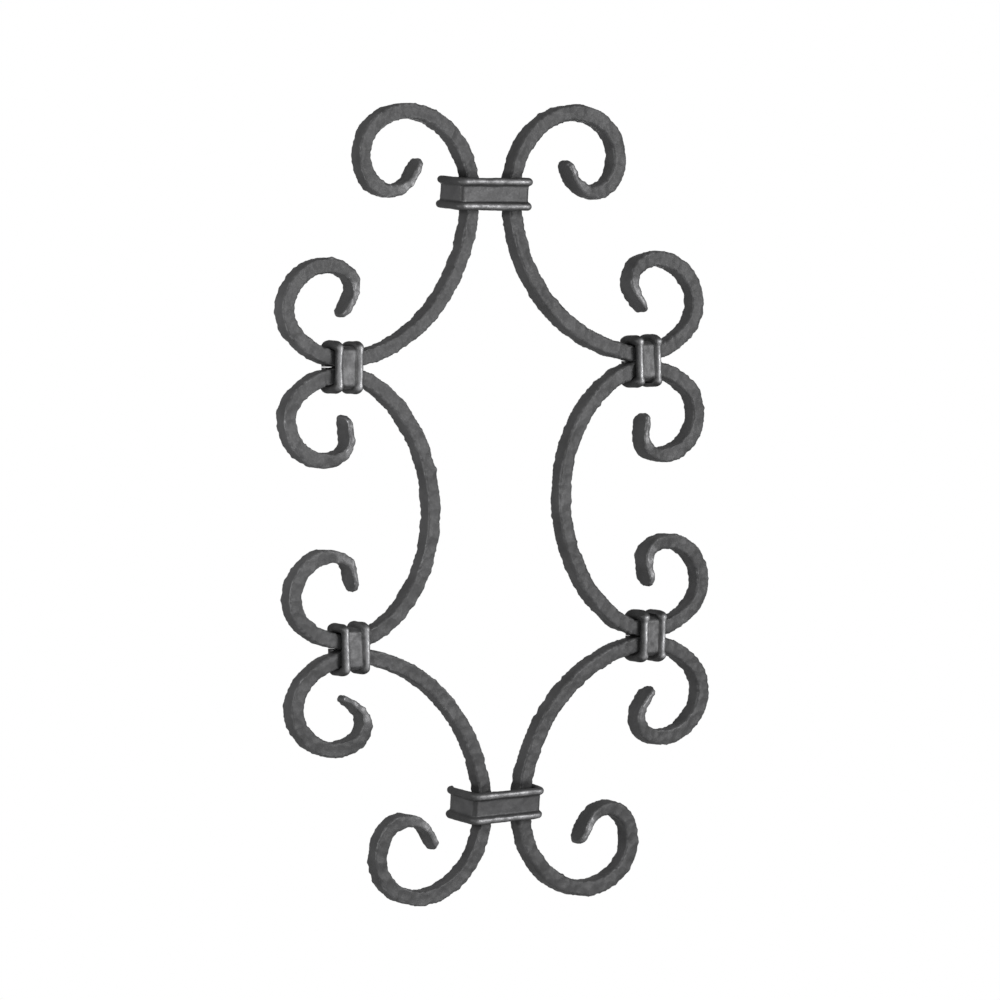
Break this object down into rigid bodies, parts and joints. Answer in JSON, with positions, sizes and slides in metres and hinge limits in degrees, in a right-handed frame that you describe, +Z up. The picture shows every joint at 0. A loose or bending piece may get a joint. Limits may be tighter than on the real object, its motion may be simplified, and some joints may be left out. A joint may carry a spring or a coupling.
{
  "type": "wrought iron grille panel",
  "caption": "Upright wrought iron grille panel of C-scrolls forged from square bar, joined by beaded collars, to be welded into a frame.",
  "frame": {"origin": "middle of the whole panel", "axes": "+X to the right as seen from the front, +Z up along the long side, -Y towards the viewer"},
  "size_m": [0.465, 0.0442, 0.6734],
  "materials": {
    "scroll_bar": "satin graphite skin over hammered square bar, edges rubbed a little lighter",
    "collar_strip": "satin graphite skin, beads rubbed lighter along their tops"
  },
  "bodies": {
    "root": {"bottom_left_scroll": "scroll_bar", "bottom_right_scroll": "scroll_bar", "middle_left_scroll": "scroll_bar", "middle_right_scroll": "scroll_bar", "top_left_scroll": "scroll_bar", "top_right_scroll": "scroll_bar", "bottom_collar": "collar_strip", "left_lower_collar": "collar_strip", "left_upper_collar": "collar_strip", "right_lower_collar": "collar_strip", "right_upper_collar": "collar_strip", "top_collar": "collar_strip"}
  },
  "joints": []
}
